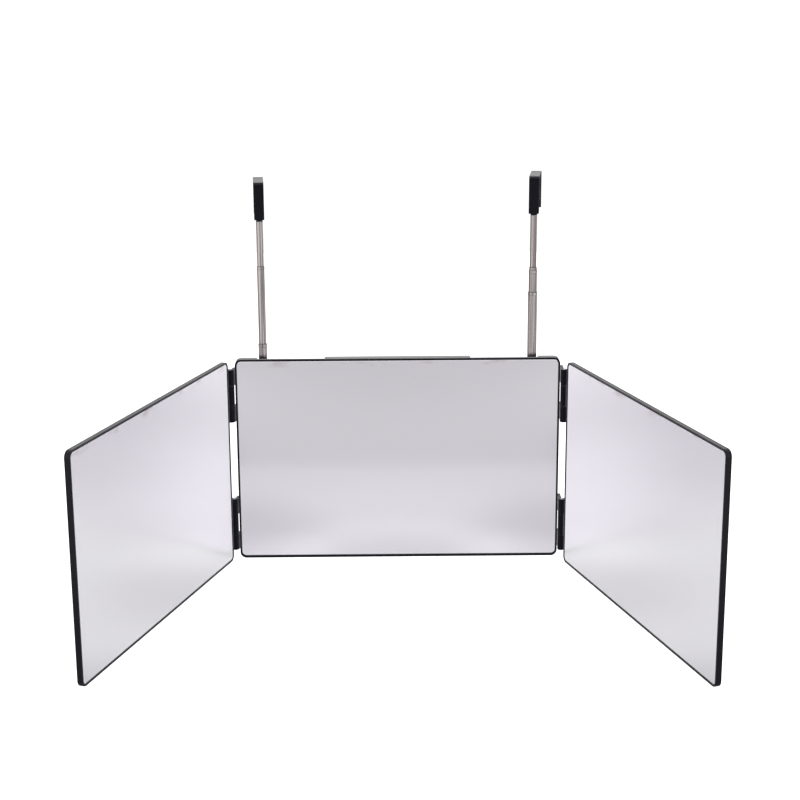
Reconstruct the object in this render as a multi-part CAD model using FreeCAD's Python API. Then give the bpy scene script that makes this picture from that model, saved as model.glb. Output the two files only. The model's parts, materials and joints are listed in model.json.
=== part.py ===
"""Tri-fold mirror that stands on its panels or hangs over a door on two telescoping hooks.

Frame: origin at the centre of the centre panel's bottom face, +X to the right of someone
looking into the mirrors, +Y away from them, +Z up. All sizes are in millimetres.
"""
import FreeCAD, Part
import math
import os

V = FreeCAD.Vector
X_AXIS = V(1, 0, 0)
Y_AXIS = V(0, 1, 0)
Z_AXIS = V(0, 0, 1)
ORIGIN = V(0, 0, 0)

# Panels: the three mirrors share one outline.
PANEL_W = 360.0
PANEL_H = 231.8
PANEL_R = 7.0
BEZEL_W = 2.2
CENTRE_SILL = 2.9
BEZEL_RISE = 0.8
GLASS_T = 2.0
GLASS_GAP = 0.15
GLASS_BEVEL = 0.3
TAPE_T = 0.4
TRAY_FLOOR = 1.0
TRAY_T = BEZEL_RISE + GLASS_T + TAPE_T + TRAY_FLOOR
EDGE_ROUND = 0.5
WALL = 1.8

CENTRE_T = 12.0
CENTRE_FRONT = -CENTRE_T / 2
WING_T = 6.0

# Raised housing on the centre panel's back, which holds the rods.
HOUSING_DEPTH = 19.5
HOUSING_HALF_W = 164.0
HOUSING_LOW = 14.0
HOUSING_HIGH = 218.0
HOUSING_R = 10.0
HOUSING_CHAMFER = 6.0
SPINE_HALF_W = 80.5
POCKET_IN = 80.5
POCKET_OUT = 155.5
POCKET_FLOOR = 178.0

# Adhesive strips between glass and tray.
TAPE_INSET = 8.0
TAPE_W = 12.0

# Hinges: one entry per side gives the axis in plan and the gap from axis to wing edge.
HINGE_X = {"left": -185.0, "right": 183.3}
HINGE_DEPTH = {"left": -1.5, "right": -11.1}
WING_GAP = {"left": 4.8, "right": 6.8}
WING_FOLD = {"left": 71.9, "right": 72.7}
SIDES = {"left": -1, "right": 1}
HINGE_LOW_Z = {"lower": 11.6, "upper": 161.4}
KNUCKLE_R = {"left": 4.4, "right": 4.0}
KNUCKLE_END = 18.0
KNUCKLE_MID = 24.0
KNUCKLE_GAP = 0.15
KNUCKLE_ROUND = 0.5
HINGE_LEN = 2 * KNUCKLE_END + KNUCKLE_MID
PIN_R = 1.5
PIN_CLEAR = 0.05
PIN_PROUD = 0.3
ARM_T = 3.0
ARM_CLEAR = {"left": 0.1, "right": 0.3}
ARM_START = {"left": 1.0, "right": 0.0}
LEAF_DEPTH = 6.2
LEAF_T = 2.0
LEAF_REACH = 12.0
LEAF_SCREW_INSET = 9.0
LEAF_SCREW_SPREAD = 20.0
SLOT_CLEAR = 0.15
TONGUE_T = 1.2
TONGUE_REACH = 14.0
PEG_R = 1.5
PEG_INSET = 8.0
PEG_SPREAD = 7.0

# Telescoping rods: outer radius of each sliding section, from the outermost in.
SECTIONS = ("outer", "second", "third", "inner")
SECTION_R = {"outer": 5.3, "second": 4.8, "third": 4.3, "inner": 3.8}
TUBE_WALL = 0.3
INNER_WALL = 0.4
TUBE_PLAY = 0.2
RIM_PLAY = 0.05
RIM_H = 3.0
RIM_BEAD = 0.18
RIM_ROUND = 0.15
STACK_GAP = 0.05
SECTION_LEN = 160.0
INNER_LEN = 156.0
SLEEVE_T = 0.15
SLEEVE_H = 8.0
SLEEVE_SLOT = 1.5
ROD_X = 149.0
ROD_DEPTH = 10.2
GUIDE_R = SECTION_R["outer"] + TUBE_PLAY + TUBE_WALL
GUIDE_LOW = 19.5
GUIDE_TOP = POCKET_FLOOR + 1.0
PLUG_H = 2.0
# How far each section is drawn out of the one around it.
DRAWN = {
    "left": {"outer": 0.0, "second": 62.5, "third": 83.5, "inner": 49.6},
    "right": {"outer": 121.7, "second": 21.3, "third": 0.0, "inner": 57.4},
}

# Guide tube clamps.
CLAMP_Z = (40.0, 150.0)
CLAMP_H = 12.0
CLAMP_OUT = 8.0
CLAMP_IN = 17.0
CLAMP_BACK = 17.5
CLAMP_SCREW_IN = 11.5
CLAMP_PLAY = 0.05

# Swivel spigot and hook. The hook's own origin is on the rod axis at the leg's lower end.
SPIGOT_R = 2.0
SPIGOT_H = 20.0
SPIGOT_PLUG_H = 12.0
FLANGE_H = 0.8
GROOVE_R = 1.5
GROOVE_H = 1.6
GROOVE_Z = 8.0
HOOK_W = 11.0
HOOK_H = 40.5
HOOK_FRONT = -3.8
HOOK_BACK = 49.2
LEG_T = 6.5
STRIP_T = 4.5
REAR_LEG_LOW = 0.0
HOOK_OUTER_R = 3.5
HOOK_INNER_R = 1.5
LEG_CORNER_R = 1.0
NECK_H = 1.6
NECK_LOW_R = 3.6
NECK_TOP_R = 4.0
NECK_GAP = 0.3
FLANGE_GAP = 0.1
SPIGOT_PLAY = 0.05
HOOK_BORE_TOP = 20.0
PAD_T = 1.0
PAD_W = 10.0
PAD_LOW = 8.0
PAD_START = 0.4
HOOK_TURN = {"left": 4.9, "right": -7.9}
SET_SCREW_R = 1.5
SET_TIP_R = 0.65
SET_TIP_LEN = 0.6
SET_SCREW_SUNK = 0.3
SET_SOCKET_DEEP = 1.4

# Screws.
COVER_SCREW_SPOTS = ((172.0, 84.0), (172.0, 148.0), (170.0, 6.5), (168.0, 225.5), (60.0, 7.0))
BOSS_R = 2.9
HEAD_R = 2.4
HEAD_H = 1.2
SHANK_R = 1.25
SHANK_LEN = 5.0
LEAF_SHANK_LEN = 3.4
PILOT_PLAY = 0.05
CROSS_W = 0.7
CROSS_LEN = 2.8
CROSS_DEEP = 0.6


def centre_y(depth):
    """Y of a plane that lies depth behind the centre panel's front face."""
    return CENTRE_FRONT + depth


def box(x0, x1, y0, y1, z0, z1):
    """Box between two corners given in any order."""
    low = V(min(x0, x1), min(y0, y1), min(z0, z1))
    return Part.makeBox(abs(x1 - x0), abs(y1 - y0), abs(z1 - z0), low)


def rod(x, y, z0, z1, radius):
    """Upright cylinder."""
    return Part.makeCylinder(radius, z1 - z0, V(x, y, z0), Z_AXIS)


def bolt_hole(x, y0, y1, z, radius):
    """Cylinder along Y."""
    return Part.makeCylinder(radius, y1 - y0, V(x, y0, z), Y_AXIS)


def cross_hole(x0, x1, z, radius):
    """Cylinder along X through the axis Y = 0."""
    return Part.makeCylinder(radius, x1 - x0, V(x0, 0, z), X_AXIS)


def rounded_outline(x0, x1, z0, z1, radius, y):
    """Closed wire: rectangle with rounded corners in the plane Y = y."""
    x0, x1 = min(x0, x1), max(x0, x1)
    diag = radius * math.sqrt(0.5)
    corners = (
        (x1 - radius, z0 + radius, 1, -1),
        (x1 - radius, z1 - radius, 1, 1),
        (x0 + radius, z1 - radius, -1, 1),
        (x0 + radius, z0 + radius, -1, -1),
    )
    arcs = []
    for cx, cz, sx, sz in corners:
        side = V(cx + sx * radius, y, cz)
        end = V(cx, y, cz + sz * radius)
        middle = V(cx + sx * diag, y, cz + sz * diag)
        first, last = (end, side) if sx * sz < 0 else (side, end)
        arcs.append((first, Part.Arc(first, middle, last).toShape(), last))
    edges = []
    for index, (first, arc, last) in enumerate(arcs):
        following = arcs[(index + 1) % len(arcs)][0]
        edges.append(arc)
        edges.append(Part.LineSegment(last, following).toShape())
    return Part.Wire(edges)


def plate(x0, x1, z0, z1, radius, y0, y1):
    """Rounded rectangular plate between the planes Y = y0 and Y = y1."""
    face = Part.Face(rounded_outline(x0, x1, z0, z1, radius, y0))
    return face.extrude(V(0, y1 - y0, 0))


def edges_at_y(shape, y):
    """Edges that lie wholly in the plane Y = y."""
    found = []
    for edge in shape.Edges:
        bounds = edge.BoundBox
        if abs(bounds.YMin - y) < 1e-4 and abs(bounds.YMax - y) < 1e-4:
            found.append(edge)
    return found


def fuse(shapes):
    """One solid from several that overlap."""
    first = shapes[0].multiFuse(shapes[1:])
    return first.removeSplitter()


def save(name, shape):
    """Write one node and report its volume."""
    if shape.isNull() or not shape.isValid():
        raise RuntimeError("bad shape: " + name)
    shape.exportStep("parts/" + name + ".step")
    print(name, "solids", len(shape.Solids), "volume", round(shape.Volume, 1))


# ---------------------------------------------------------------- panels

def tray(x0, x1, front, sill=BEZEL_W):
    """Front frame of a panel: floor behind the glass and a bezel lip, sill high along the bottom."""
    body = plate(x0, x1, 0, PANEL_H, PANEL_R, front, front + TRAY_T)
    body = body.makeFillet(EDGE_ROUND, edges_at_y(body, front))
    recess = plate(x0 + BEZEL_W, x1 - BEZEL_W, sill, PANEL_H - BEZEL_W,
                   PANEL_R - BEZEL_W, front - 1, front + TRAY_T - TRAY_FLOOR)
    return body.cut(recess)


def glass(x0, x1, front, sill=BEZEL_W):
    """Mirror plate with a narrow polished bevel."""
    inset = BEZEL_W + GLASS_GAP
    face = front + BEZEL_RISE
    body = plate(x0 + inset, x1 - inset, sill + GLASS_GAP, PANEL_H - inset,
                 PANEL_R - inset, face, face + GLASS_T)
    return body.makeChamfer(GLASS_BEVEL, edges_at_y(body, face))


def tape(x0, x1, front):
    """Adhesive strips: two tall ones at the ends and three across between them."""
    y0 = front + BEZEL_RISE + GLASS_T
    y1 = y0 + TAPE_T
    low = TAPE_INSET
    high = PANEL_H - TAPE_INSET
    strips = [
        box(x0 + TAPE_INSET, x0 + TAPE_INSET + TAPE_W, y0, y1, low, high),
        box(x1 - TAPE_INSET - TAPE_W, x1 - TAPE_INSET, y0, y1, low, high),
    ]
    left = x0 + TAPE_INSET + TAPE_W + TAPE_INSET
    right = x1 - TAPE_INSET - TAPE_W - TAPE_INSET
    for z in (low, (low + high - TAPE_W) / 2, high - TAPE_W):
        strips.append(box(left, right, y0, y1, z, z + TAPE_W))
    return Part.makeCompound(strips)


# ---------------------------------------------------------------- screws

def screw(x, y, z, shank_len):
    """Cross-head screw driven towards -Y, with the underside of its head at y."""
    head = bolt_hole(x, y, y + HEAD_H, z, HEAD_R)
    head = head.makeFillet(HEAD_H / 3, edges_at_y(head, y + HEAD_H))
    shank = bolt_hole(x, y - shank_len, y, z, SHANK_R)
    shank = shank.makeChamfer(SHANK_R / 2, edges_at_y(shank, y - shank_len))
    top = y + HEAD_H
    half = CROSS_LEN / 2
    across = box(x - half, x + half, top - CROSS_DEEP, top + 1, z - CROSS_W / 2, z + CROSS_W / 2)
    upright = box(x - CROSS_W / 2, x + CROSS_W / 2, top - CROSS_DEEP, top + 1, z - half, z + half)
    return fuse([head, shank]).cut(across).cut(upright)


def cover_screw_places():
    """X and Z of the screws round the rear cover's rim."""
    return [(side * x, z) for x, z in COVER_SCREW_SPOTS for side in (-1, 1)]


def clamp_screw_places():
    """X and Z of the screws that pull the housing onto the guide tube clamps."""
    x = ROD_X - CLAMP_SCREW_IN
    return [(side * x, z) for z in CLAMP_Z for side in (-1, 1)]


def leaf_screw_places():
    """X and Z of the screws that hold the hinges' centre leaves."""
    x = PANEL_W / 2 - LEAF_SCREW_INSET
    places = []
    for low in HINGE_LOW_Z.values():
        middle = low + HINGE_LEN / 2
        for side in (-1, 1):
            places.append((side * x, middle - LEAF_SCREW_SPREAD))
            places.append((side * x, middle + LEAF_SCREW_SPREAD))
    return places


# ---------------------------------------------------------------- centre panel

def centre_frame():
    """Centre tray with screw bosses on its back."""
    body = tray(-PANEL_W / 2, PANEL_W / 2, CENTRE_FRONT, CENTRE_SILL)
    floor = centre_y(TRAY_T - TRAY_FLOOR / 2)
    rim_top = centre_y(CENTRE_T - WALL)
    leaf_top = centre_y(LEAF_DEPTH)
    bosses = [bolt_hole(x, floor, rim_top, z, BOSS_R) for x, z in cover_screw_places()]
    bosses += [bolt_hole(x, floor, leaf_top, z, BOSS_R) for x, z in leaf_screw_places()]
    body = fuse([body] + bosses)
    pilot = SHANK_R + PILOT_PLAY
    start = centre_y(TRAY_T + PILOT_PLAY)
    for x, z in cover_screw_places() + leaf_screw_places():
        body = body.cut(bolt_hole(x, start, rim_top + 1, z, pilot))
    return body


def housing(inset):
    """Raised rod housing and spine, shrunk by inset for its hollow."""
    back = centre_y(HOUSING_DEPTH) - inset
    start = centre_y(CENTRE_T) - WALL - inset
    half = HOUSING_HALF_W - inset
    body = plate(-half, half, HOUSING_LOW + inset, HOUSING_HIGH - inset,
                 HOUSING_R - inset, start, back)
    body = body.makeChamfer(HOUSING_CHAMFER - inset, edges_at_y(body, back))
    spine_half = SPINE_HALF_W - inset
    top = PANEL_H - inset
    spine = box(-spine_half, spine_half, start, back, HOUSING_LOW + 4 * HOUSING_CHAMFER, top)
    slope = [edge for edge in edges_at_y(spine, back)
             if abs(edge.BoundBox.ZMin - top) < 1e-4 and abs(edge.BoundBox.ZMax - top) < 1e-4]
    spine = spine.makeChamfer(HOUSING_CHAMFER, slope)
    return fuse([body, spine])


def pocket(side, wall):
    """Hook pocket, grown by wall on its two sides and below."""
    return box(side * (POCKET_IN - wall), side * (POCKET_OUT + wall),
               centre_y(0), centre_y(HOUSING_DEPTH + 1), POCKET_FLOOR - wall, PANEL_H + 1)


def leaf_slot(side, low):
    """Opening in the cover's side wall for one hinge arm."""
    edge = PANEL_W / 2
    return box(side * (edge - WALL - 1), side * (edge + 1),
               centre_y(LEAF_DEPTH) - SLOT_CLEAR, centre_y(LEAF_DEPTH + LEAF_T) + SLOT_CLEAR,
               low - SLOT_CLEAR, low + KNUCKLE_END + SLOT_CLEAR)


def centre_rear_cover():
    """Rear shell with the rod housing, two hook pockets and its screw holes."""
    half = PANEL_W / 2
    front = centre_y(TRAY_T)
    back = centre_y(CENTRE_T)
    rim = plate(-half, half, 0, PANEL_H, PANEL_R, front, back)
    rim = rim.makeFillet(1.0, edges_at_y(rim, back))
    outer = fuse([rim, housing(0)])
    inner_rim = plate(-half + WALL, half - WALL, WALL, PANEL_H - WALL,
                      PANEL_R - WALL, front - 1, back - WALL)
    hollow = fuse([inner_rim, housing(WALL)])
    for side in (-1, 1):
        hollow = hollow.cut(pocket(side, WALL))
    body = outer.cut(hollow)
    for side in (-1, 1):
        body = body.cut(pocket(side, 0))
        tube_hole = rod(side * ROD_X, centre_y(ROD_DEPTH), POCKET_FLOOR - WALL - 1,
                        POCKET_FLOOR + 1, GUIDE_R + CLAMP_PLAY)
        body = body.cut(tube_hole)
        for low in HINGE_LOW_Z.values():
            body = body.cut(leaf_slot(side, low))
            body = body.cut(leaf_slot(side, low + KNUCKLE_END + KNUCKLE_MID))
    for places, depth in ((cover_screw_places(), CENTRE_T), (clamp_screw_places(), HOUSING_DEPTH)):
        face = centre_y(depth)
        for x, z in places:
            body = body.cut(bolt_hole(x, face - WALL - 1, face + 1, z, SHANK_R + PILOT_PLAY))
            body = body.cut(bolt_hole(x, face - HEAD_H, face + 1, z, HEAD_R + 2 * PILOT_PLAY))
    return body


def cover_screws():
    """All screws seen on the back of the centre panel."""
    screws = [screw(x, centre_y(CENTRE_T) - HEAD_H, z, SHANK_LEN)
              for x, z in cover_screw_places()]
    screws += [screw(x, centre_y(HOUSING_DEPTH) - HEAD_H, z, SHANK_LEN)
               for x, z in clamp_screw_places()]
    return Part.makeCompound(screws)


def guide_tube(side):
    """Fixed tube in the housing, crimped at its mouth round the outer section."""
    x = side * ROD_X
    y = centre_y(ROD_DEPTH)
    tube = rod(x, y, GUIDE_LOW, GUIDE_TOP, GUIDE_R)
    tube = tube.cut(rod(x, y, GUIDE_LOW - 1, GUIDE_TOP - RIM_H, GUIDE_R - TUBE_WALL))
    return tube.cut(rod(x, y, GUIDE_TOP - RIM_H - 1, GUIDE_TOP + 1, SECTION_R["outer"] + RIM_PLAY))


def guide_clamps():
    """Blocks on the tray that hold the guide tubes and take the housing's screws."""
    blocks = []
    y = centre_y(ROD_DEPTH)
    for side in (-1, 1):
        x = side * ROD_X
        for z in CLAMP_Z:
            low = z - CLAMP_H / 2
            high = z + CLAMP_H / 2
            block = box(x + side * CLAMP_OUT, x - side * CLAMP_IN,
                        centre_y(TRAY_T), centre_y(CLAMP_BACK), low, high)
            block = block.cut(rod(x, y, low - 1, high + 1, GUIDE_R + CLAMP_PLAY))
            screw_x = x - side * CLAMP_SCREW_IN
            pilot = bolt_hole(screw_x, centre_y(CLAMP_BACK - SHANK_LEN - 1),
                              centre_y(CLAMP_BACK + 1), z, SHANK_R + PILOT_PLAY)
            blocks.append(block.cut(pilot))
    return Part.makeCompound(blocks)


def guide_plugs():
    """Caps pressed into the lower ends of the guide tubes."""
    plugs = []
    for side in (-1, 1):
        x = side * ROD_X
        y = centre_y(ROD_DEPTH)
        flange = rod(x, y, GUIDE_LOW - 1, GUIDE_LOW, GUIDE_R)
        core = rod(x, y, GUIDE_LOW - 1, GUIDE_LOW + PLUG_H, GUIDE_R - TUBE_WALL)
        plugs.append(fuse([flange, core]))
    return Part.makeCompound(plugs)


# ---------------------------------------------------------------- hinges

def end_knuckle(x, y, low, outer_edge, radius):
    """Barrel of an end knuckle, rounded where the hinge ends."""
    barrel = rod(x, y, low, low + KNUCKLE_END, radius)
    ends = [edge for edge in barrel.Edges
            if abs(edge.BoundBox.ZMin - outer_edge) < 1e-4
            and abs(edge.BoundBox.ZMax - outer_edge) < 1e-4]
    return barrel.makeFillet(KNUCKLE_ROUND, ends)


def centre_leaf(name, low):
    """End knuckles with arms that pass into the centre panel and join on one plate."""
    side = SIDES[name]
    x = HINGE_X[name]
    y = centre_y(HINGE_DEPTH[name])
    edge = side * PANEL_W / 2
    arm_in = edge + side * ARM_CLEAR[name]
    arm_out = arm_in + side * ARM_T
    leaf_y0 = centre_y(LEAF_DEPTH)
    leaf_y1 = leaf_y0 + LEAF_T
    plate_in = edge - side * LEAF_REACH
    high = low + HINGE_LEN
    radius = KNUCKLE_R[name]
    shapes = []
    for z, outer_edge in ((low, low), (high - KNUCKLE_END, high)):
        top = z + KNUCKLE_END
        shapes.append(end_knuckle(x, y, z, outer_edge, radius))
        shapes.append(box(x, arm_in, y + ARM_START[name], y + radius - KNUCKLE_ROUND, z, top))
        shapes.append(box(arm_in, arm_out, y + ARM_START[name], leaf_y1, z, top))
        shapes.append(box(arm_out, plate_in, leaf_y0, leaf_y1, z, top))
    shapes.append(box(edge - side * (WALL + 1), plate_in, leaf_y0, leaf_y1, low, high))
    body = fuse(shapes)
    body = body.cut(rod(x, y, low - 1, high + 1, PIN_R))
    screw_x = edge - side * LEAF_SCREW_INSET
    middle = low + HINGE_LEN / 2
    for z in (middle - LEAF_SCREW_SPREAD, middle + LEAF_SCREW_SPREAD):
        body = body.cut(bolt_hole(screw_x, leaf_y0 - 1, leaf_y1 + 1, z, SHANK_R + PILOT_PLAY))
    return body


def hinge_pin(name, low):
    """Steel pin, a little proud of both ends of the hinge."""
    y = centre_y(HINGE_DEPTH[name])
    pin = rod(HINGE_X[name], y, low - PIN_PROUD, low + HINGE_LEN + PIN_PROUD, PIN_R)
    return pin.makeChamfer(PIN_PROUD, pin.Edges[0:1] + pin.Edges[2:3])


def leaf_screws():
    """Screws that hold the centre leaves on the tray's bosses."""
    y = centre_y(LEAF_DEPTH + LEAF_T)
    return Part.makeCompound([screw(x, y, z, LEAF_SHANK_LEN) for x, z in leaf_screw_places()])


# The wing's pieces are drawn unfolded about their hinge axis and then swung into place.

def swing(name, shape):
    """Turn a wing piece from in line with the centre panel to its folded place."""
    shape.rotate(ORIGIN, Z_AXIS, -SIDES[name] * WING_FOLD[name])
    shape.translate(V(HINGE_X[name], centre_y(HINGE_DEPTH[name]), 0))
    return shape


def wing_span(name):
    """Inner and outer X of a wing measured from its hinge axis, lower first."""
    near = SIDES[name] * WING_GAP[name]
    far = near + SIDES[name] * PANEL_W
    return min(near, far), max(near, far)


def tongue(name, low, play):
    """Flat tongue of a side leaf; play widens it into the recess that takes it."""
    side = SIDES[name]
    near = side * (WING_GAP[name] - 0.5)
    far = side * (WING_GAP[name] + TONGUE_REACH + play)
    z0 = low + KNUCKLE_END + KNUCKLE_GAP - play
    z1 = low + KNUCKLE_END + KNUCKLE_MID - KNUCKLE_GAP + play
    return box(near, far, TRAY_T, TRAY_T + TONGUE_T + play, z0, z1)


def peg_places(name, low):
    """X and Z of the two pegs that pin one tongue."""
    x = SIDES[name] * (WING_GAP[name] + PEG_INSET)
    middle = low + HINGE_LEN / 2
    return [(x, middle - PEG_SPREAD), (x, middle + PEG_SPREAD)]


def side_leaf(name, low):
    """Middle knuckle with an arm and a tongue that goes into the wing."""
    side = SIDES[name]
    z0 = low + KNUCKLE_END + KNUCKLE_GAP
    z1 = low + KNUCKLE_END + KNUCKLE_MID - KNUCKLE_GAP
    barrel = rod(0, 0, z0, z1, KNUCKLE_R[name])
    arm = box(0, side * (WING_GAP[name] - 0.2), 0.4, TRAY_T + TONGUE_T, z0, z1)
    body = fuse([barrel, arm, tongue(name, low, 0)])
    body = body.cut(rod(0, 0, z0 - 1, z1 + 1, PIN_R + PIN_CLEAR))
    for x, z in peg_places(name, low):
        body = body.cut(bolt_hole(x, TRAY_T - 1, WING_T, z, PEG_R + PILOT_PLAY))
    return body


def wing_cover(name):
    """Back plate of a wing, hollowed for the hinge tongues and pegged through them."""
    x0, x1 = wing_span(name)
    body = plate(x0, x1, 0, PANEL_H, PANEL_R, TRAY_T, WING_T)
    body = body.makeFillet(0.8, edges_at_y(body, WING_T))
    for low in HINGE_LOW_Z.values():
        body = body.cut(tongue(name, low, SLOT_CLEAR))
    pegs = [bolt_hole(x, TRAY_T, WING_T - EDGE_ROUND / 2, z, PEG_R)
            for low in HINGE_LOW_Z.values() for x, z in peg_places(name, low)]
    return fuse([body] + pegs)


# ---------------------------------------------------------------- rods

def rim_tops(name):
    """Height of each section's rim: the guide tube's mouth, then one rim on another."""
    drawn = DRAWN[name]
    tops = {}
    height = GUIDE_TOP
    for section in SECTIONS[:-1]:
        height += STACK_GAP + RIM_H + drawn[section]
        tops[section] = height
    return tops


def neck_bottom(name):
    """Height of the lower end of the hook's neck."""
    return rim_tops(name)["third"] + NECK_GAP + DRAWN[name]["inner"]


def rod_section(name, section):
    """Sliding tube with a crimped and slightly swollen rim."""
    x = SIDES[name] * ROD_X
    y = centre_y(ROD_DEPTH)
    top = rim_tops(name)[section]
    low = top - SECTION_LEN
    radius = SECTION_R[section]
    inner = SECTION_R[SECTIONS[SECTIONS.index(section) + 1]]
    tube = rod(x, y, low, top - RIM_H / 2, radius)
    rim = rod(x, y, top - RIM_H, top, radius + RIM_BEAD)
    rim = rim.makeFillet(RIM_ROUND, [rim.Edges[0], rim.Edges[2]])
    body = fuse([tube, rim])
    body = body.cut(rod(x, y, low - 1, top - RIM_H, inner + TUBE_PLAY))
    return body.cut(rod(x, y, top - RIM_H - 1, top + 1, inner + RIM_PLAY))


def inner_section(name):
    """Innermost tube, which carries the swivel spigot."""
    x = SIDES[name] * ROD_X
    y = centre_y(ROD_DEPTH)
    top = neck_bottom(name) - FLANGE_GAP - FLANGE_H
    radius = SECTION_R["inner"]
    tube = rod(x, y, top - INNER_LEN, top, radius)
    return tube.cut(rod(x, y, top - INNER_LEN - 1, top + 1, radius - INNER_WALL))


def friction_sleeve(name, section):
    """Split plastic sleeve round a section's lower end."""
    x = SIDES[name] * ROD_X
    y = centre_y(ROD_DEPTH)
    if section == "inner":
        low = neck_bottom(name) - FLANGE_GAP - FLANGE_H - INNER_LEN
    else:
        low = rim_tops(name)[section] - SECTION_LEN
    radius = SECTION_R[section]
    sleeve = rod(x, y, low, low + SLEEVE_H, radius + SLEEVE_T)
    sleeve = sleeve.cut(rod(x, y, low - 1, low + SLEEVE_H + 1, radius))
    slot = box(x - SLEEVE_SLOT / 2, x + SLEEVE_SLOT / 2, y, y + radius + 1,
               low - 1, low + SLEEVE_H + 1)
    return sleeve.cut(slot)


def spigot(name):
    """Plug in the inner tube with a grooved pin on which the hook turns."""
    x = SIDES[name] * ROD_X
    y = centre_y(ROD_DEPTH)
    seat = neck_bottom(name) - FLANGE_GAP
    plug = rod(x, y, seat - FLANGE_H - SPIGOT_PLUG_H, seat, SECTION_R["inner"] - INNER_WALL)
    flange = rod(x, y, seat - FLANGE_H, seat, SECTION_R["inner"])
    pin = rod(x, y, seat - 1, seat + SPIGOT_H, SPIGOT_R)
    body = fuse([plug, flange, pin])
    groove_low = seat + FLANGE_GAP + NECK_H + GROOVE_Z - GROOVE_H / 2
    ring = rod(x, y, groove_low, groove_low + GROOVE_H, SPIGOT_R + 1)
    ring = ring.cut(rod(x, y, groove_low - 1, groove_low + GROOVE_H + 1, GROOVE_R))
    return body.cut(ring)


# ---------------------------------------------------------------- hooks

def hook_place(name, shape):
    """Move a piece drawn in the hook's own frame onto its rod."""
    shape.rotate(ORIGIN, Z_AXIS, HOOK_TURN[name])
    shape.translate(V(SIDES[name] * ROD_X, centre_y(ROD_DEPTH), neck_bottom(name) + NECK_H))
    return shape


def side_profile(points, width):
    """Strip of the given width whose side view is a polygon in the YZ plane."""
    corners = [V(-width / 2, y, z) for y, z in points]
    wire = Part.makePolygon(corners + corners[:1])
    return Part.Face(wire).extrude(V(width, 0, 0))


def edges_along_x(shape, y, z):
    """Edges parallel to X through the point (y, z)."""
    found = []
    for edge in shape.Edges:
        bounds = edge.BoundBox
        at_y = abs(bounds.YMin - y) < 1e-4 and abs(bounds.YMax - y) < 1e-4
        at_z = abs(bounds.ZMin - z) < 1e-4 and abs(bounds.ZMax - z) < 1e-4
        if at_y and at_z:
            found.append(edge)
    return found


def leg_corners(shape):
    """Edges at the two lower corners of the hook's front leg, as seen from the front."""
    corners = []
    for edge in shape.Edges:
        bounds = edge.BoundBox
        in_leg = bounds.YMax < HOOK_FRONT + LEG_T + 1e-4
        at_corner = bounds.ZMax < 1e-4 and bounds.XLength < 1e-4 and bounds.ZLength < 1e-4
        if in_leg and at_corner:
            corners.append(edge)
    return corners


def hook():
    """U-shaped door hook with a neck that turns on the spigot."""
    gap_front = HOOK_FRONT + LEG_T
    gap_back = HOOK_BACK - STRIP_T
    gap_top = HOOK_H - STRIP_T
    body = side_profile(
        [(HOOK_FRONT, 0), (gap_front, 0), (gap_front, gap_top), (gap_back, gap_top),
         (gap_back, REAR_LEG_LOW), (HOOK_BACK, REAR_LEG_LOW), (HOOK_BACK, HOOK_H),
         (HOOK_FRONT, HOOK_H)], HOOK_W)
    outer = edges_along_x(body, HOOK_FRONT, HOOK_H) + edges_along_x(body, HOOK_BACK, HOOK_H)
    body = body.makeFillet(HOOK_OUTER_R, outer)
    inner = edges_along_x(body, gap_front, gap_top) + edges_along_x(body, gap_back, gap_top)
    body = body.makeFillet(HOOK_INNER_R, inner)
    tips = edges_along_x(body, gap_back, REAR_LEG_LOW) + edges_along_x(body, HOOK_BACK, REAR_LEG_LOW)
    body = body.makeFillet(HOOK_INNER_R, tips)
    body = body.makeFillet(LEG_CORNER_R, leg_corners(body))
    neck = Part.makeCone(NECK_LOW_R, NECK_TOP_R, NECK_H, V(0, 0, -NECK_H), Z_AXIS)
    neck = neck.cut(box(-HOOK_W, HOOK_W, HOOK_FRONT - HOOK_W, HOOK_FRONT, -NECK_H - 1, 1))
    neck = neck.cut(box(-HOOK_W, HOOK_W, gap_front, gap_front + HOOK_W, -NECK_H - 1, 1))
    body = fuse([body, neck])
    body = body.cut(rod(0, 0, -NECK_H - 1, HOOK_BORE_TOP, SPIGOT_R + SPIGOT_PLAY))
    return body.cut(cross_hole(0, HOOK_W / 2 + 1, GROOVE_Z, SET_SCREW_R))


def hook_pad():
    """Soft strip under the hook's top and down the inside of its rear leg."""
    start = HOOK_FRONT + LEG_T + HOOK_INNER_R + PAD_START
    back = HOOK_BACK - STRIP_T - HOOK_INNER_R - PAD_START
    top = HOOK_H - STRIP_T
    across = box(-PAD_W / 2, PAD_W / 2, start, back, top - PAD_T, top)
    inside = HOOK_BACK - STRIP_T
    down = box(-PAD_W / 2, PAD_W / 2, inside - PAD_T, inside, PAD_LOW, top - HOOK_INNER_R - PAD_START)
    return Part.makeCompound([across, down])


def set_screw():
    """Grub screw in the side of the front leg, whose tip runs in the spigot's groove."""
    tip = GROOVE_R + FLANGE_GAP
    shoulder = tip + SET_TIP_LEN
    head = HOOK_W / 2 - SET_SCREW_SUNK
    body = cross_hole(shoulder, head, GROOVE_Z, SET_SCREW_R)
    point = cross_hole(tip, shoulder + FLANGE_GAP, GROOVE_Z, SET_TIP_R)
    body = fuse([body, point])
    return body.cut(cross_hole(head - SET_SOCKET_DEEP, head + 1, GROOVE_Z, SET_SCREW_R / 2))


# ---------------------------------------------------------------- assembly

def build_centre():
    """Write the centre panel and everything fixed to it."""
    half = PANEL_W / 2
    save("centre_frame", centre_frame())
    save("centre_mirror", glass(-half, half, CENTRE_FRONT, CENTRE_SILL))
    save("centre_mirror_tape", tape(-half, half, CENTRE_FRONT))
    save("centre_rear_cover", centre_rear_cover())
    save("cover_screws", cover_screws())
    save("guide_tube_clamps", guide_clamps())
    save("guide_tube_plugs", guide_plugs())
    save("hinge_leaf_screws", leaf_screws())


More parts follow.
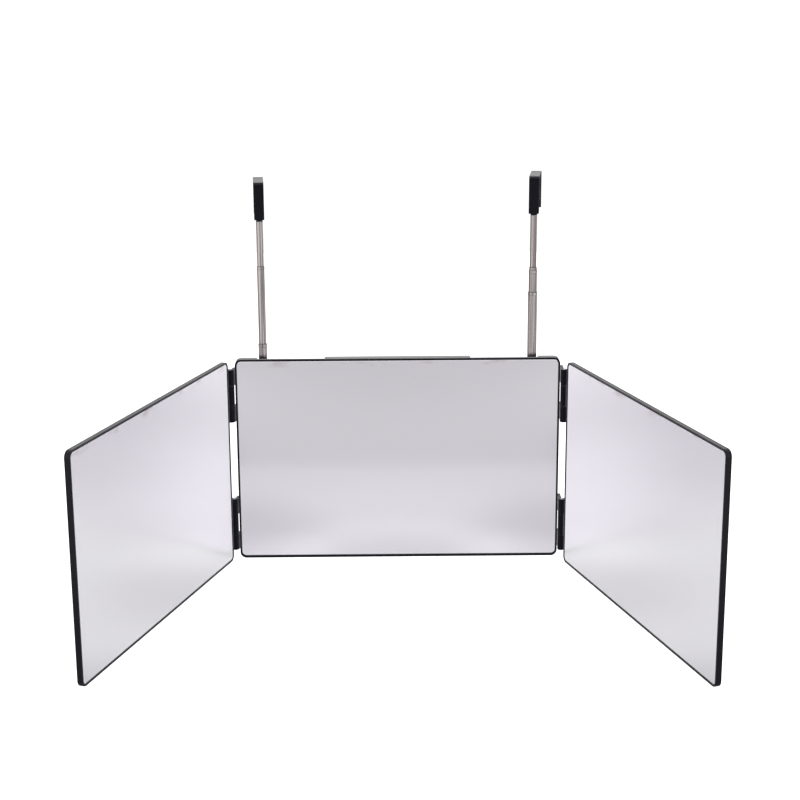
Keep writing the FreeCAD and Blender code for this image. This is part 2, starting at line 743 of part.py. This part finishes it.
def build_side(name):
    """Write one wing with its hinges, and one rod with its hook."""
    save(name + "_guide_tube", guide_tube(SIDES[name]))
    x0, x1 = wing_span(name)
    save(name + "_frame", swing(name, tray(x0, x1, 0)))
    save(name + "_mirror", swing(name, glass(x0, x1, 0)))
    save(name + "_mirror_tape", swing(name, tape(x0, x1, 0)))
    save(name + "_back_cover", swing(name, wing_cover(name)))
    for level, low in HINGE_LOW_Z.items():
        hinge = name + "_" + level
        save(hinge + "_centre_leaf", centre_leaf(name, low))
        save(hinge + "_side_leaf", swing(name, side_leaf(name, low)))
        save(hinge + "_hinge_pin", hinge_pin(name, low))
    for section in SECTIONS[:-1]:
        save(name + "_rod_" + section, rod_section(name, section))
    save(name + "_rod_inner", inner_section(name))
    for section in SECTIONS:
        save(name + "_sleeve_" + section, friction_sleeve(name, section))
    save(name + "_spigot", spigot(name))
    save(name + "_hook", hook_place(name, hook()))
    save(name + "_hook_pad", hook_place(name, hook_pad()))
    save(name + "_set_screw", hook_place(name, set_screw()))


os.makedirs("parts", exist_ok=True)
build_centre()
for side_name in SIDES:
    build_side(side_name)
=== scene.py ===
"""Looks of the tri-fold mirror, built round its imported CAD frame. Lengths are in metres."""
import json
import math

import bpy
from mathutils import Matrix, Vector


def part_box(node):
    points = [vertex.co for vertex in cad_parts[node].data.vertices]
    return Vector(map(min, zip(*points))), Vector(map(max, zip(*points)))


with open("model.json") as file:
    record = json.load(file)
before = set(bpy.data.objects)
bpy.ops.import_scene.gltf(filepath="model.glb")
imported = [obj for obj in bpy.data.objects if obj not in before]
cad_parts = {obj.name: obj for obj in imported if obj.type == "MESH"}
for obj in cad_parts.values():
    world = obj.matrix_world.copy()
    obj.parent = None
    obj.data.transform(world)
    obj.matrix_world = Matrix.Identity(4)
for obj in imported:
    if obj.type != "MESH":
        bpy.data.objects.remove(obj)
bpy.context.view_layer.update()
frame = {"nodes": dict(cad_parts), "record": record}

# Camera: place and direction that give the studio view.
CAMERA_AT = Vector((-0.01001, -1.79655, 0.66347))
CAMERA_PITCH = math.radians(14.97)
CAMERA_YAW = math.radians(0.40)
CAMERA_ROLL = math.radians(-0.33)
CAMERA_LENS = 75.09
SENSOR = 36.0

# Light table under the mirror. Glows are parts of white. They are what lights and mirrors see;
# the camera sees the table and the room as plain white.
FLOOR_SIDE = 12.0
FLOOR_FRONT = 4.0
FLOOR_BACK = 2.0
FLOOR_DROP = 0.0002
TABLE_TINT = (0.987, 1.0, 1.0)
TABLE_COLOUR = (0.308, 0.299, 0.3125)
TABLE_ROUGHNESS = 0.3
TABLE_SHINE = 1.0
# Distance from the middle, and glow there.
TABLE_GLOW = ((0.03, 0.40), (0.11, 0.45), (0.18, 0.40), (0.34, 0.35), (0.42, 0.31),
              (0.60, 0.31), (0.95, 0.42), (1.80, 0.31))
# Patches of the table, alike at the left and right: centre, where they fade out, and glow.
PATCHES = (
    ((0.140, 0.030, 0.0), (0.02, 0.09), 1.14),
    ((0.190, 0.120, 0.0), (0.02, 0.14), 0.74),
    ((0.350, 0.420, 0.0), (0.05, 0.18), 0.55),
)
# Shade of a viewer who stands at the table, with the sharp step that the centre mirror shows.
SHADE_CENTRE = (0, -1.15, 0)
SHADE_GLOW = 0.62
SHADE_EDGE = (0.25, 0.60)
STEP_GLOW = 0.82
STEP_EDGE = (0.785, 0.825)
# Black flags at the left and right, above the table and on it beyond FLAG_START.
FLAG_GLOW = 0.22
FLAG_EDGE = (0.84, 0.96)
FLAG_START = (0.45, 0.75)

# Room: each edge is where the direction's cosine, or its rise, starts and ends a change.
ROOM_GLOW = 1.2
SOFTBOX_GLOW = 1.6
SOFTBOX_WAY = (0.76, -0.65)
SOFTBOX_EDGE = (0.78, 0.95)
VIEWER_GLOW = 0.30
VIEWER_EDGE = (0.78, 0.97)
BACK_GLOW = 0.08
BACK_EDGE = (0.80, 0.97)
BACK_RISE = (0.02, 0.13)
CAMERA_WHITE = 1.1

TOP_LIGHT_AT = (0, 0.1, 2.4)
TOP_LIGHT_SIZE = 3.0
TOP_LIGHT_POWER = 4.0

# Surface details. Scales of noise are in cells per metre, roughly.
GRAIN_SCALE = 1800.0
GRAIN_DEPTH = 0.00002
FINE_LINES = (2600.0, 2600.0, 14.0)
FINE_SHARE = 0.25
# Wide streaks along the rods are painted reflection, dark and bright bands laid into the steel's
# colour; the fine lines are draw lines.
PAINTED_STREAKS = (640.0, 640.0, 5.0)
PAINTED_STREAK_SHARE = 0.75
LINE_EDGE = (0.39, 0.59)
# Steel colours at the dark and bright ends of the draw lines and the painted reflection streaks.
STEEL_DARK = (0.235, 0.205, 0.200)
STEEL_LIGHT = (0.630, 0.570, 0.560)
EDGE_SOFTNESS = 0.0005
EDGE_SAMPLES = 4
# Painted shade on the rods where other surfaces close them in: its reach, the occlusion range it
# spans, and its samples.
CORNER_REACH = 0.006
CORNER_SHADE = (0.74, 0.99)
CORNER_SAMPLES = 8
# Colour of the painted corner shade on the rods.
PAINTED_CORNER_SHADE = (0.035, 0.030, 0.030)
MIRROR_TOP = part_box("centre_mirror")[1][2]
TARNISH_BAND = (MIRROR_TOP - 0.009, MIRROR_TOP - 0.001)
TARNISH = 0.65
TARNISH_COLOUR = (0.62, 0.54, 0.52)
WIPE_SPREAD = 0.007
CENTRE_BLUR = 0.10
WING_BLUR = 0.25


# ---------------------------------------------------------------- node helpers

class Nodes:
    """A node tree under construction, and the coordinates that its textures use."""

    def __init__(self, tree, coordinates):
        self.nodes = tree.nodes
        self.links = tree.links
        self.place = self.nodes.new("ShaderNodeTexCoord").outputs[coordinates]

    def link(self, source, target):
        self.links.new(source, target)

    def axes(self):
        """The three coordinates of the place."""
        node = self.nodes.new("ShaderNodeSeparateXYZ")
        self.link(self.place, node.inputs["Vector"])
        return node.outputs["X"], node.outputs["Y"], node.outputs["Z"]

    def stretched(self, x, y, z):
        """Coordinates scaled along each axis."""
        mapping = self.nodes.new("ShaderNodeMapping")
        mapping.inputs["Scale"].default_value = (x, y, z)
        self.link(self.place, mapping.inputs["Vector"])
        return mapping.outputs["Vector"]

    def vector_node(self, operation, place):
        """Vector arithmetic node that takes place first."""
        node = self.nodes.new("ShaderNodeVectorMath")
        node.operation = operation
        self.link(place, node.inputs[0])
        return node

    def distance(self, centre, place=None):
        """How far a point is from centre, in metres."""
        node = self.vector_node("DISTANCE", place or self.place)
        node.inputs[1].default_value = centre
        return node.outputs["Value"]

    def quarter(self):
        """Coordinates with their signs taken off, so that every quarter of the plane is alike."""
        return self.vector_node("ABSOLUTE", self.place).outputs["Vector"]

    def math(self, operation, first, second=0.0):
        """Arithmetic on sockets or plain numbers."""
        node = self.nodes.new("ShaderNodeMath")
        node.operation = operation
        for index, value in enumerate((first, second)):
            if isinstance(value, (int, float)):
                node.inputs[index].default_value = value
            else:
                self.link(value, node.inputs[index])
        return node.outputs["Value"]

    def product(self, first, *others):
        """All the factors multiplied together."""
        for other in others:
            first = self.math("MULTIPLY", first, other)
        return first

    def ramp(self, source, low, high, start=0.0, end=1.0):
        """Map source from start..end to low..high."""
        node = self.nodes.new("ShaderNodeMapRange")
        node.inputs["From Min"].default_value = start
        node.inputs["From Max"].default_value = end
        node.inputs["To Min"].default_value = low
        node.inputs["To Max"].default_value = high
        self.link(source, node.inputs["Value"])
        return node.outputs["Result"]

    def smooth(self, source, low, high, start, end):
        """As ramp, with a soft start and end."""
        result = self.ramp(source, low, high, start, end)
        result.node.interpolation_type = "SMOOTHSTEP"
        return result

    def steps(self, source, points):
        """Smooth curve through (position, value) points, for positions from 0 to 2."""
        node = self.nodes.new("ShaderNodeValToRGB")
        node.color_ramp.interpolation = "EASE"
        marks = node.color_ramp.elements
        while len(marks) < len(points):
            marks.new(0.5)
        for mark, (position, value) in zip(marks, points):
            mark.position = position / 2
            mark.color = (value, value, value, 1)
        self.link(self.math("MULTIPLY", source, 0.5), node.inputs["Fac"])
        return node.outputs["Color"]

    def white_for_camera(self, glow):
        """The glow for what lights and mirrors see, and plain white for what the camera sees."""
        pick = self.nodes.new("ShaderNodeMix")
        self.link(self.nodes.new("ShaderNodeLightPath").outputs["Is Camera Ray"],
                  pick.inputs["Factor"])
        self.link(glow, pick.inputs["A"])
        pick.inputs["B"].default_value = CAMERA_WHITE
        return pick.outputs["Result"]


class Shader(Nodes):
    """A material under construction, with its Principled shader."""

    def __init__(self, name):
        self.material = bpy.data.materials.new(name)
        self.material.use_nodes = True
        super().__init__(self.material.node_tree, "Object")
        self.shader = self.nodes["Principled BSDF"]

    def set(self, **values):
        for socket, value in values.items():
            self.shader.inputs[socket.replace("_", " ")].default_value = value

    def noise(self, scale, detail=3.0, rough=0.5, place=None):
        noise = self.nodes.new("ShaderNodeTexNoise")
        noise.inputs["Scale"].default_value = scale
        noise.inputs["Detail"].default_value = detail
        noise.inputs["Roughness"].default_value = rough
        self.link(place or self.place, noise.inputs["Vector"])
        return noise.outputs["Fac"]

    def cells(self, scale):
        cells = self.nodes.new("ShaderNodeTexVoronoi")
        cells.inputs["Scale"].default_value = scale
        self.link(self.place, cells.inputs["Vector"])
        return cells.outputs["Distance"]

    def blend(self, factor, first, second):
        """Colour between first, a plain colour or a socket, and the plain colour second."""
        node = self.nodes.new("ShaderNodeMix")
        node.data_type = "RGBA"
        self.link(factor, node.inputs["Factor"])
        if isinstance(first, tuple):
            node.inputs["A"].default_value = (*first, 1)
        else:
            self.link(first, node.inputs["A"])
        node.inputs["B"].default_value = (*second, 1)
        return node.outputs["Result"]

    def soft_edges(self):
        """Normals that catch light along sharp edges as if they were slightly rounded."""
        node = self.nodes.new("ShaderNodeBevel")
        node.samples = EDGE_SAMPLES
        node.inputs["Radius"].default_value = EDGE_SOFTNESS
        return node.outputs["Normal"]

    # Mask for the painted shade in corners.
    def in_corners(self):
        """0 on a free face, up to 1 where other surfaces close the face in."""
        node = self.nodes.new("ShaderNodeAmbientOcclusion")
        node.samples = CORNER_SAMPLES
        node.inputs["Distance"].default_value = CORNER_REACH
        return self.smooth(node.outputs["AO"], 1.0, 0.0, *CORNER_SHADE)

    def bump(self, height, distance, strength, normal=None):
        node = self.nodes.new("ShaderNodeBump")
        if normal:
            self.link(normal, node.inputs["Normal"])
        node.inputs["Distance"].default_value = distance
        node.inputs["Strength"].default_value = strength
        self.link(height, node.inputs["Height"])
        self.link(node.outputs["Normal"], self.shader.inputs["Normal"])

    def colour(self, source):
        self.link(source, self.shader.inputs["Base Color"])

    def roughness(self, source):
        self.link(source, self.shader.inputs["Roughness"])


# ---------------------------------------------------------------- materials

def moulded_plastic(name, dark, light, low, high, shine):
    """Black plastic with a fine spark-eroded grain, softened edges and faint rub marks."""
    s = Shader(name)
    s.set(Specular_IOR_Level=shine)
    s.colour(s.blend(s.noise(60.0, 5.0), dark, light))
    rubs = s.noise(38.0, 4.0, 0.7, s.stretched(1.0, 1.0, 0.35))
    s.roughness(s.ramp(rubs, low, high, 0.35, 0.65))
    s.bump(s.noise(GRAIN_SCALE, 2.0), GRAIN_DEPTH, 0.2, s.soft_edges())
    return s.material


def mirror_glass(name, dark, light, blur):
    """Silvered glass with faint wipe marks, a little tarnished along its top edge."""
    s = Shader(name)
    s.set(Metallic=1.0)
    near_top = s.smooth(s.axes()[2], 0.0, 1.0, *TARNISH_BAND)
    spots = s.noise(26.0, 5.0, 0.62, s.stretched(1.0, 1.0, 2.6))
    patches = s.smooth(spots, 0.0, TARNISH, 0.50, 0.70)
    silver = s.blend(s.noise(7.0, 2.0), dark, light)
    s.colour(s.blend(s.product(near_top, patches), silver, TARNISH_COLOUR))
    wipes = s.noise(14.0, 4.0, 0.6, s.stretched(1.0, 1.0, 0.3))
    s.roughness(s.ramp(wipes, blur - WIPE_SPREAD, blur + WIPE_SPREAD, 0.3, 0.7))
    return s.material


def drawn_steel():
    """Polished tube with fine draw lines and painted reflection streaks along its length, and
    painted shade in its corners.
    """
    s = Shader("rod_steel")
    s.set(Metallic=1.0, Anisotropic=0.3)
    fine = s.noise(1.0, 3.0, 0.6, s.stretched(*FINE_LINES))
    # Painted reflection: wide dark and bright streaks along the rod, mixed with the fine draw
    # lines.
    wide = s.noise(1.0, 2.0, 0.6, s.stretched(*PAINTED_STREAKS))
    both = s.math("ADD", s.product(wide, PAINTED_STREAK_SHARE), s.product(fine, FINE_SHARE))
    steel = s.blend(s.smooth(both, 0.0, 1.0, *LINE_EDGE), STEEL_DARK, STEEL_LIGHT)
    # Painted shade: the steel darkens where other surfaces close it in, as at the guide mouths
    # and rims.
    s.colour(s.blend(s.in_corners(), steel, PAINTED_CORNER_SHADE))
    s.roughness(s.ramp(s.noise(90.0, 3.0, 0.6), 0.06, 0.11, 0.3, 0.7))
    s.bump(fine, 0.00001, 0.3, s.soft_edges())
    return s.material


def plated_steel():
    """Zinc-plated screws and pins."""
    s = Shader("steel_hardware")
    s.set(Metallic=1.0)
    s.colour(s.blend(s.noise(400.0, 4.0), (0.36, 0.36, 0.37), (0.52, 0.52, 0.53)))
    s.roughness(s.ramp(s.noise(900.0), 0.25, 0.42, 0.3, 0.7))
    s.bump(s.noise(3000.0), GRAIN_DEPTH, 0.4)
    return s.material


def nylon():
    """Off-white nylon of the sleeves and plugs."""
    s = Shader("nylon")
    s.set(Subsurface_Weight=0.1)
    s.colour(s.blend(s.noise(300.0), (0.74, 0.73, 0.68), (0.80, 0.79, 0.75)))
    s.roughness(s.ramp(s.noise(700.0), 0.35, 0.5))
    s.bump(s.noise(GRAIN_SCALE), GRAIN_DEPTH, 0.4)
    return s.material


def foam(name, dark, light):
    """Closed-cell foam."""
    s = Shader(name)
    s.colour(s.blend(s.noise(500.0), dark, light))
    s.roughness(s.ramp(s.noise(900.0), 0.75, 0.95))
    s.bump(s.cells(2600.0), 0.00012, 0.6)
    return s.material


# By material slot, or by node where one piece differs from the rest of its slot.
MATERIALS = {
    "black_plastic": moulded_plastic(
        "black_plastic", (0.0006, 0.0004, 0.0040), (0.0014, 0.0011, 0.0056), 0.22, 0.30, 0.22),
    "hinge_plastic": moulded_plastic(
        "hinge_plastic", (0.0006, 0.0004, 0.0048), (0.0016, 0.0012, 0.0064), 0.24, 0.36, 0.13),
    "centre_rear_cover": moulded_plastic(
        "cover_plastic", (0.0030, 0.0026, 0.0040), (0.0046, 0.0042, 0.0058), 0.12, 0.19, 0.8),
    # Painted reflection tint: the centre mirror's silver is made more lilac than the wings',
    # though all three are one glass, so that its reflection takes another tint.
    "centre_mirror": mirror_glass(
        "centre_glass_painted_tint", (0.958, 0.934, 0.986), (0.966, 0.942, 0.994), CENTRE_BLUR),
    "mirror_glass": mirror_glass(
        "mirror_glass", (0.944, 0.938, 0.956), (0.952, 0.946, 0.964), WING_BLUR),
    "foam_tape": foam("foam_tape", (0.62, 0.62, 0.60), (0.74, 0.74, 0.72)),
    "rod_steel": drawn_steel(),
    "steel_hardware": plated_steel(),
    "nylon": nylon(),
    "pad_rubber": foam("pad_rubber", (0.018, 0.018, 0.018), (0.032, 0.032, 0.032)),
}


# Frames and hinges would cross the mirrors as dark bands, so only these show in reflections.
REFLECTED = ("mirror", "hook")


def dress_frame():
    """Give each CAD node its own material, or that of its slot."""
    for row in frame["record"]["subparts"]:
        name = row["node"]
        node = frame["nodes"][name]
        node.data.materials.clear()
        node.data.materials.append(MATERIALS.get(name, MATERIALS[row["material_slot"]]))
        node.visible_glossy = name.endswith(REFLECTED)


# ---------------------------------------------------------------- studio

def add_to_scene(name, data):
    thing = bpy.data.objects.new(name, data)
    bpy.context.scene.collection.objects.link(thing)
    return thing


def make_camera():
    """Camera with the studio view's yaw, pitch and roll."""
    yaw, pitch, roll = CAMERA_YAW, CAMERA_PITCH, CAMERA_ROLL
    forward = Vector((math.sin(yaw) * math.cos(pitch), math.cos(yaw) * math.cos(pitch),
                      -math.sin(pitch)))
    level = Vector((math.cos(yaw), -math.sin(yaw), 0))
    above = level.cross(forward)
    right = level * math.cos(roll) + above * math.sin(roll)
    up = above * math.cos(roll) - level * math.sin(roll)
    data = bpy.data.cameras.new("studio_camera")
    data.sensor_width = SENSOR
    data.lens = CAMERA_LENS
    camera = add_to_scene("studio_camera", data)
    axes = Matrix((right, up, -forward)).transposed().to_4x4()
    camera.matrix_world = Matrix.Translation(CAMERA_AT) @ axes
    bpy.context.scene.camera = camera


def table_material():
    """Glossy light table with its rings, patches, viewer's shade and flags."""
    s = Shader("studio_floor")
    s.set(Roughness=TABLE_ROUGHNESS, Specular_IOR_Level=TABLE_SHINE,
          Base_Color=(*TABLE_COLOUR, 1), Emission_Color=(*TABLE_TINT, 1))
    away = s.distance((0, 0, 0))
    from_shade = s.distance(SHADE_CENTRE)
    shade = s.product(s.smooth(from_shade, SHADE_GLOW, 1.0, *SHADE_EDGE),
                      s.smooth(from_shade, STEP_GLOW, 1.0, *STEP_EDGE))
    sideways = s.math("DIVIDE", s.math("ABSOLUTE", s.axes()[0]), away)
    near = s.smooth(away, 1.0, 0.0, *FLAG_START)
    flags = s.math("MAXIMUM", s.smooth(sideways, 1.0, FLAG_GLOW, *FLAG_EDGE), near)
    quarter = s.quarter()
    patches = [s.smooth(s.distance(centre, quarter), glow, 1.0, *edge)
               for centre, edge, glow in PATCHES]
    glow = s.product(s.steps(away, TABLE_GLOW), shade, flags, *patches)
    s.link(s.white_for_camera(glow), s.shader.inputs["Emission Strength"])
    return s.material


def make_floor():
    """Table top under the mirror, wide enough to run on past the picture's sides."""
    mesh = bpy.data.meshes.new("studio_floor")
    corners = [(-FLOOR_SIDE, -FLOOR_FRONT, 0), (FLOOR_SIDE, -FLOOR_FRONT, 0),
               (FLOOR_SIDE, FLOOR_BACK, 0), (-FLOOR_SIDE, FLOOR_BACK, 0)]
    mesh.from_pydata(corners, [], [(0, 1, 2, 3)])
    mesh.materials.append(table_material())
    floor = add_to_scene("studio_floor", mesh)
    floor.location.z = -FLOOR_DROP


def make_top_light():
    """Large soft box overhead."""
    data = bpy.data.lights.new("top_softbox", "AREA")
    data.shape = "RECTANGLE"
    data.size = TOP_LIGHT_SIZE
    data.size_y = TOP_LIGHT_SIZE
    data.energy = TOP_LIGHT_POWER
    light = add_to_scene("top_softbox", data)
    light.location = TOP_LIGHT_AT
    light.rotation_euler = (-Vector(TOP_LIGHT_AT)).to_track_quat("-Z", "Y").to_euler()


def make_world():
    """White room: two soft boxes beside a dark viewer, black flags at the sides, a dark back."""
    world = bpy.data.worlds.new("studio")
    bpy.context.scene.world = world
    world.use_nodes = True
    room = Nodes(world.node_tree, "Generated")
    x, y, z = room.axes()
    sideways = room.math("ABSOLUTE", x)
    to_box = room.math("ADD", room.product(sideways, SOFTBOX_WAY[0]),
                       room.product(y, SOFTBOX_WAY[1]))
    boxes = room.smooth(to_box, ROOM_GLOW, SOFTBOX_GLOW, *SOFTBOX_EDGE)
    viewer = room.smooth(room.product(y, -1.0), 1.0, VIEWER_GLOW / ROOM_GLOW, *VIEWER_EDGE)
    flags = room.smooth(sideways, 1.0, FLAG_GLOW, *FLAG_EDGE)
    low = room.smooth(z, BACK_GLOW, 1.0, *BACK_RISE)
    back = room.math("MAXIMUM", low, room.smooth(y, 1.0, 0.0, *BACK_EDGE))
    background = room.nodes["Background"]
    background.inputs["Color"].default_value = (1, 1, 1, 1)
    glow = room.white_for_camera(room.product(boxes, viewer, flags, back))
    room.link(glow, background.inputs["Strength"])


dress_frame()
make_camera()
make_floor()
make_world()
make_top_light()
bpy.context.scene.view_settings.view_transform = "Standard"
